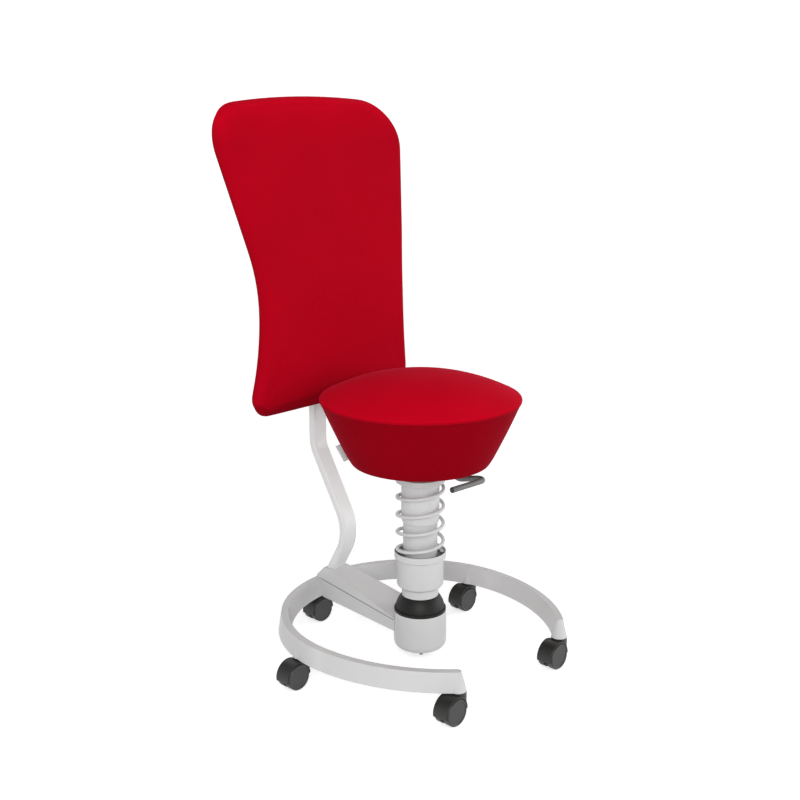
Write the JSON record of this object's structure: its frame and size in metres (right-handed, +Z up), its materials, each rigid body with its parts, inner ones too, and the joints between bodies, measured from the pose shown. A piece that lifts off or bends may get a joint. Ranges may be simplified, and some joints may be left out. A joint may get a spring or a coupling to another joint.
{
  "type": "balance stool with backrest",
  "caption": "Balance stool: domed seat on a sprung, tilting column, tall hourglass backrest on a bent bar, and an open ring base on casters.",
  "frame": {"origin": "on the floor, under the middle of the whole stool's extent in X and Y", "axes": "+Z up; -Y is the front, where the sitter's knees point; +X is the sitter's left"},
  "size_m": [0.5558, 0.5767, 1.062],
  "materials": {
    "paint": "satin light grey paint",
    "steel": "bare steel",
    "dark_steel": "dark grey paint",
    "black_plastic": "matte black",
    "wheel_plastic": "matte black",
    "black_rubber": "matte black",
    "red_fabric": "woven red upholstery",
    "plywood": "plain"
  },
  "bodies": {
    "base": {"base_ring": "paint", "base_arm": "paint", "joint_hub": "paint", "caster_stems": "steel", "bar_foot": "paint", "foot_bolts": "steel", "back_bar": "paint", "bar_cap": "black_plastic", "back_carrier": "dark_steel", "carrier_screws": "steel", "bar_bolts": "steel", "back_shell": "red_fabric", "back_cushion": "red_fabric", "hub_lip": "black_rubber", "pivot_yoke": "steel", "yoke_screws": "steel"},
    "knob": {"stiffness_knob": "dark_steel"},
    "preload": {"pressure_plate": "steel", "stiffness_buffer": "black_rubber"},
    "cross": {"joint_cross": "steel"},
    "column": {"upper_yoke": "steel", "column_neck": "paint", "rubber_dome": "black_rubber", "guide_tube": "paint", "spring_cup": "paint", "spring_washer": "steel", "coil_spring": "paint"},
    "carriage": {"guide_sleeve": "paint", "guide_bush": "black_plastic", "lift_tube": "steel", "gas_bush": "black_plastic"},
    "rod": {"gas_rod": "steel"},
    "seat": {"gas_cylinder": "dark_steel", "seat_bracket": "dark_steel", "seat_screws": "steel", "seat_board": "plywood", "seat_ring": "red_fabric", "seat_cushion": "red_fabric"},
    "valve": {"release_pin": "steel"},
    "lever": {"height_lever": "dark_steel"},
    "rear_caster": {"rear_caster_housing": "black_plastic", "rear_caster_axle": "steel"},
    "rear_outer": {"rear_wheel_outer": "wheel_plastic"},
    "rear_inner": {"rear_wheel_inner": "wheel_plastic"},
    "left_caster": {"left_caster_housing": "black_plastic", "left_caster_axle": "steel"},
    "left_outer": {"left_wheel_outer": "wheel_plastic"},
    "left_inner": {"left_wheel_inner": "wheel_plastic"},
    "right_caster": {"right_caster_housing": "black_plastic", "right_caster_axle": "steel"},
    "right_outer": {"right_wheel_outer": "wheel_plastic"},
    "right_inner": {"right_wheel_inner": "wheel_plastic"},
    "front_left_caster": {"front_left_caster_housing": "black_plastic", "front_left_caster_axle": "steel"},
    "front_left_outer": {"front_left_wheel_outer": "wheel_plastic"},
    "front_left_inner": {"front_left_wheel_inner": "wheel_plastic"},
    "front_right_caster": {"front_right_caster_housing": "black_plastic", "front_right_caster_axle": "steel"},
    "front_right_outer": {"front_right_wheel_outer": "wheel_plastic"},
    "front_right_inner": {"front_right_wheel_inner": "wheel_plastic"}
  },
  "joints": [
    {"name": "stiffness_turn", "type": "hinge", "parent": "base", "child": "knob", "pos_m": [0.01391, -0.04684, 0.016], "axis": [0, 0, 1], "range_deg": [0, 360]},
    {"name": "preload_slide", "type": "slide", "parent": "base", "child": "preload", "axis": [0, 0, 1], "range_m": [0, 0.004]},
    {"name": "lean_fore_aft", "type": "hinge", "parent": "base", "child": "cross", "pos_m": [0.01391, -0.04684, 0.095], "axis": [1, 0, 0], "range_deg": [-1.5, 10], "stiffness_Nm_per_rad": 400},
    {"name": "lean_sideways", "type": "hinge", "parent": "cross", "child": "column", "pos_m": [0.01391, -0.04684, 0.095], "axis": [0, 1, 0], "range_deg": [-10, 10], "stiffness_Nm_per_rad": 400},
    {"name": "spring_travel", "type": "slide", "parent": "column", "child": "carriage", "axis": [0, 0, 1], "range_m": [-0.04, 0], "stiffness_N_per_m": 8000, "springref_m": 0.03, "deforming": ["coil_spring"]},
    {"name": "seat_swivel", "type": "hinge", "parent": "carriage", "child": "rod", "pos_m": [0.01391, -0.04684, 0.175], "axis": [0, 0, 1], "continuous": true},
    {"name": "seat_height", "type": "slide", "parent": "rod", "child": "seat", "axis": [0, 0, 1], "range_m": [0, 0.1]},
    {"name": "lever_turn", "type": "hinge", "parent": "seat", "child": "lever", "pos_m": [0.01391, -0.08084, 0.4228], "axis": [1, 0, 0], "range_deg": [-8, 0], "stiffness_Nm_per_rad": 4, "springref_deg": 6.88},
    {"name": "valve_slide", "type": "slide", "parent": "seat", "child": "valve", "axis": [0, 0, 1], "range_m": [-0.0056, 0]},
    {"name": "rear_swivel", "type": "hinge", "parent": "base", "child": "rear_caster", "pos_m": [0.01391, 0.22066, 0.045], "axis": [0, 0, 1], "continuous": true},
    {"name": "rear_outer_roll", "type": "hinge", "parent": "rear_caster", "child": "rear_outer", "pos_m": [-0.00609, 0.22066, 0.025], "axis": [0, 1, 0], "continuous": true},
    {"name": "rear_inner_roll", "type": "hinge", "parent": "rear_caster", "child": "rear_inner", "pos_m": [-0.00609, 0.22066, 0.025], "axis": [0, 1, 0], "continuous": true},
    {"name": "left_swivel", "type": "hinge", "parent": "base", "child": "left_caster", "pos_m": [0.25713, 0.03166, 0.045], "axis": [0, 0, 1], "continuous": true},
    {"name": "left_outer_roll", "type": "hinge", "parent": "left_caster", "child": "left_outer", "pos_m": [0.23713, 0.03166, 0.025], "axis": [0, 1, 0], "continuous": true},
    {"name": "left_inner_roll", "type": "hinge", "parent": "left_caster", "child": "left_inner", "pos_m": [0.23713, 0.03166, 0.025], "axis": [0, 1, 0], "continuous": true},
    {"name": "right_swivel", "type": "hinge", "parent": "base", "child": "right_caster", "pos_m": [-0.22931, 0.03166, 0.045], "axis": [0, 0, 1], "continuous": true},
    {"name": "right_outer_roll", "type": "hinge", "parent": "right_caster", "child": "right_outer", "pos_m": [-0.24931, 0.03166, 0.025], "axis": [0, 1, 0], "continuous": true},
    {"name": "right_inner_roll", "type": "hinge", "parent": "right_caster", "child": "right_inner", "pos_m": [-0.24931, 0.03166, 0.025], "axis": [0, 1, 0], "continuous": true},
    {"name": "front_left_swivel", "type": "hinge", "parent": "base", "child": "front_left_caster", "pos_m": [0.16412, -0.2707, 0.045], "axis": [0, 0, 1], "continuous": true},
    {"name": "front_left_outer_roll", "type": "hinge", "parent": "front_left_caster", "child": "front_left_outer", "pos_m": [0.14412, -0.2707, 0.025], "axis": [0, 1, 0], "continuous": true},
    {"name": "front_left_inner_roll", "type": "hinge", "parent": "front_left_caster", "child": "front_left_inner", "pos_m": [0.14412, -0.2707, 0.025], "axis": [0, 1, 0], "continuous": true},
    {"name": "front_right_swivel", "type": "hinge", "parent": "base", "child": "front_right_caster", "pos_m": [-0.13629, -0.2707, 0.045], "axis": [0, 0, 1], "continuous": true},
    {"name": "front_right_outer_roll", "type": "hinge", "parent": "front_right_caster", "child": "front_right_outer", "pos_m": [-0.15629, -0.2707, 0.025], "axis": [0, 1, 0], "continuous": true},
    {"name": "front_right_inner_roll", "type": "hinge", "parent": "front_right_caster", "child": "front_right_inner", "pos_m": [-0.15629, -0.2707, 0.025], "axis": [0, 1, 0], "continuous": true}
  ],
  "couplings": [
    {"joint": "stiffness_turn", "follows": "preload_slide", "rad_per_m": 1570.8},
    {"joint": "valve_slide", "follows": "lever_turn", "m_per_rad": 0.038}
  ]
}
